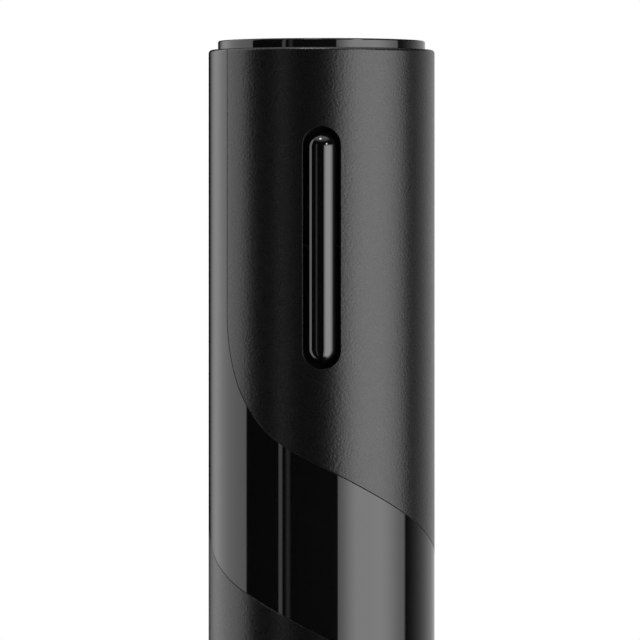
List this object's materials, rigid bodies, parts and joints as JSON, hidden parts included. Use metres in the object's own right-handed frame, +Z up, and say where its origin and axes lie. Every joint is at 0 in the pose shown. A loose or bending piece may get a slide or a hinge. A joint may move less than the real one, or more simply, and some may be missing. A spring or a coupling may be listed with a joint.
{
  "type": "electric wine opener",
  "caption": "Round battery wine opener with a long rocker switch, spiral gloss band, smoked window over a geared worm, and a foil cutter as its base.",
  "frame": {"origin": "centre of the flat foot of the foil cutter, on the body's axis", "axes": "+Z up along the body's axis, -Y the front with the rocker switch, +X to the right seen from the front"},
  "size_m": [0.048, 0.0495, 0.2442],
  "materials": {
    "matte_black": "fine spark-textured matte",
    "gloss_black": "high gloss",
    "smoke": "polished smoked clear plastic",
    "satin_metal": "fine circular brushing",
    "steel": "bright steel",
    "dark_plastic": "moulded, satin",
    "nylon": "natural nylon",
    "sinter": "sintered steel",
    "brass": "turned bronze",
    "magnet": "ferrite",
    "copper": "lacquered copper and contacts",
    "coated": "dark non-stick coated steel",
    "cell_wrap": "shrink wrap on a steel can",
    "nickel": "nickel",
    "board": "lacquered circuit board",
    "zinc": "zinc plated"
  },
  "bodies": {
    "foil_cutter": {"foil_cutter_body": "matte_black", "wheel_retainer": "steel"},
    "opener_body": {"base_ring": "satin_metal", "neck_guide": "dark_plastic", "window_tube": "smoke", "matte_shell": "matte_black", "gloss_band": "gloss_black", "top_cap": "gloss_black", "switch_tray": "dark_plastic", "rocker_pin": "steel", "switch_drive_in": "dark_plastic", "switch_eject": "dark_plastic", "gear_cover": "nylon", "output_bushing": "brass", "ring_gear": "nylon", "motor_plate": "steel", "gearbox_screw_1": "zinc", "gearbox_screw_2": "zinc", "gearbox_screw_3": "zinc", "motor_screw_1": "zinc", "motor_screw_2": "zinc", "motor_can": "zinc", "motor_end_cap": "dark_plastic", "magnet_left": "magnet", "magnet_right": "magnet", "brush_terminal_left": "copper", "brush_terminal_right": "copper", "inner_frame": "dark_plastic", "cell_1": "cell_wrap", "cell_2": "cell_wrap", "cell_link": "nickel", "cell_tab_negative": "nickel", "cell_tab_positive": "nickel", "control_board": "board", "charge_board": "board", "usb_socket": "steel"},
    "rocker": {"rocker_bar": "gloss_black"},
    "stem_drive_in": {"stem_drive_in": "nylon"},
    "stem_eject": {"stem_eject": "nylon"},
    "rotor": {"armature": "copper", "motor_shaft": "steel", "sun_pinion": "sinter"},
    "stage_carrier": {"stage_carrier": "steel"},
    "output": {"output_carrier": "steel", "worm_hub": "dark_plastic", "worm": "coated"},
    "cutting_wheel_1": {"cutting_wheel_1": "steel"},
    "cutting_wheel_2": {"cutting_wheel_2": "steel"},
    "cutting_wheel_3": {"cutting_wheel_3": "steel"},
    "cutting_wheel_4": {"cutting_wheel_4": "steel"},
    "planet_1_a": {"planet_1_a": "sinter"},
    "planet_1_b": {"planet_1_b": "sinter"},
    "planet_1_c": {"planet_1_c": "sinter"},
    "planet_2_a": {"planet_2_a": "sinter"},
    "planet_2_b": {"planet_2_b": "sinter"},
    "planet_2_c": {"planet_2_c": "sinter"}
  },
  "joints": [
    {"name": "lift_off", "type": "slide", "parent": "foil_cutter", "child": "opener_body", "axis": [0, 0, 1], "range_m": [0, 0.04]},
    {"name": "rocker_tilt", "type": "hinge", "parent": "opener_body", "child": "rocker", "pos_m": [0, -0.0181, 0.1998], "axis": [1, 0, 0], "range_deg": [-2, 2], "stiffness_Nm_per_rad": 0.6},
    {"name": "drive_in_stem", "type": "slide", "parent": "opener_body", "child": "stem_drive_in", "axis": [0, 1, 0], "range_m": [-0.0006, 0.0006]},
    {"name": "eject_stem", "type": "slide", "parent": "opener_body", "child": "stem_eject", "axis": [0, 1, 0], "range_m": [-0.0006, 0.0006]},
    {"name": "motor_spin", "type": "hinge", "parent": "opener_body", "child": "rotor", "pos_m": [0, 0, 0.147], "axis": [0, 0, 1], "continuous": true},
    {"name": "stage_spin", "type": "hinge", "parent": "opener_body", "child": "stage_carrier", "pos_m": [0, 0, 0.123], "axis": [0, 0, 1], "continuous": true},
    {"name": "worm_spin", "type": "hinge", "parent": "opener_body", "child": "output", "pos_m": [0, 0, 0.1], "axis": [0, 0, 1], "continuous": true},
    {"name": "planet_1_a_spin", "type": "hinge", "parent": "stage_carrier", "child": "planet_1_a", "pos_m": [0, 0.0084, 0.127], "axis": [0, 0, 1], "continuous": true},
    {"name": "planet_1_b_spin", "type": "hinge", "parent": "stage_carrier", "child": "planet_1_b", "pos_m": [-0.00727, -0.0042, 0.127], "axis": [0, 0, 1], "continuous": true},
    {"name": "planet_1_c_spin", "type": "hinge", "parent": "stage_carrier", "child": "planet_1_c", "pos_m": [0.00727, -0.0042, 0.127], "axis": [0, 0, 1], "continuous": true},
    {"name": "planet_2_a_spin", "type": "hinge", "parent": "output", "child": "planet_2_a", "pos_m": [0, 0.0084, 0.119], "axis": [0, 0, 1], "continuous": true},
    {"name": "planet_2_b_spin", "type": "hinge", "parent": "output", "child": "planet_2_b", "pos_m": [-0.00727, -0.0042, 0.119], "axis": [0, 0, 1], "continuous": true},
    {"name": "planet_2_c_spin", "type": "hinge", "parent": "output", "child": "planet_2_c", "pos_m": [0.00727, -0.0042, 0.119], "axis": [0, 0, 1], "continuous": true},
    {"name": "wheel_1_spin", "type": "hinge", "parent": "foil_cutter", "child": "cutting_wheel_1", "pos_m": [0.01259, 0.01259, 0.0105], "axis": [0, 0, 1], "continuous": true},
    {"name": "wheel_2_spin", "type": "hinge", "parent": "foil_cutter", "child": "cutting_wheel_2", "pos_m": [-0.01259, 0.01259, 0.0105], "axis": [0, 0, 1], "continuous": true},
    {"name": "wheel_3_spin", "type": "hinge", "parent": "foil_cutter", "child": "cutting_wheel_3", "pos_m": [-0.01259, -0.01259, 0.0105], "axis": [0, 0, 1], "continuous": true},
    {"name": "wheel_4_spin", "type": "hinge", "parent": "foil_cutter", "child": "cutting_wheel_4", "pos_m": [0.01259, -0.01259, 0.0105], "axis": [0, 0, 1], "continuous": true}
  ],
  "couplings": [
    {"joint": "drive_in_stem", "follows": "rocker_tilt", "m_per_rad": 0.016},
    {"joint": "eject_stem", "follows": "rocker_tilt", "m_per_rad": -0.016},
    {"joint": "stage_spin", "follows": "motor_spin", "ratio": 0.21429},
    {"joint": "worm_spin", "follows": "motor_spin", "ratio": 0.045918},
    {"joint": "planet_1_a_spin", "follows": "motor_spin", "ratio": -0.58929},
    {"joint": "planet_1_b_spin", "follows": "motor_spin", "ratio": -0.58929},
    {"joint": "planet_1_c_spin", "follows": "motor_spin", "ratio": -0.58929},
    {"joint": "planet_2_a_spin", "follows": "motor_spin", "ratio": -0.12628},
    {"joint": "planet_2_b_spin", "follows": "motor_spin", "ratio": -0.12628},
    {"joint": "planet_2_c_spin", "follows": "motor_spin", "ratio": -0.12628}
  ]
}
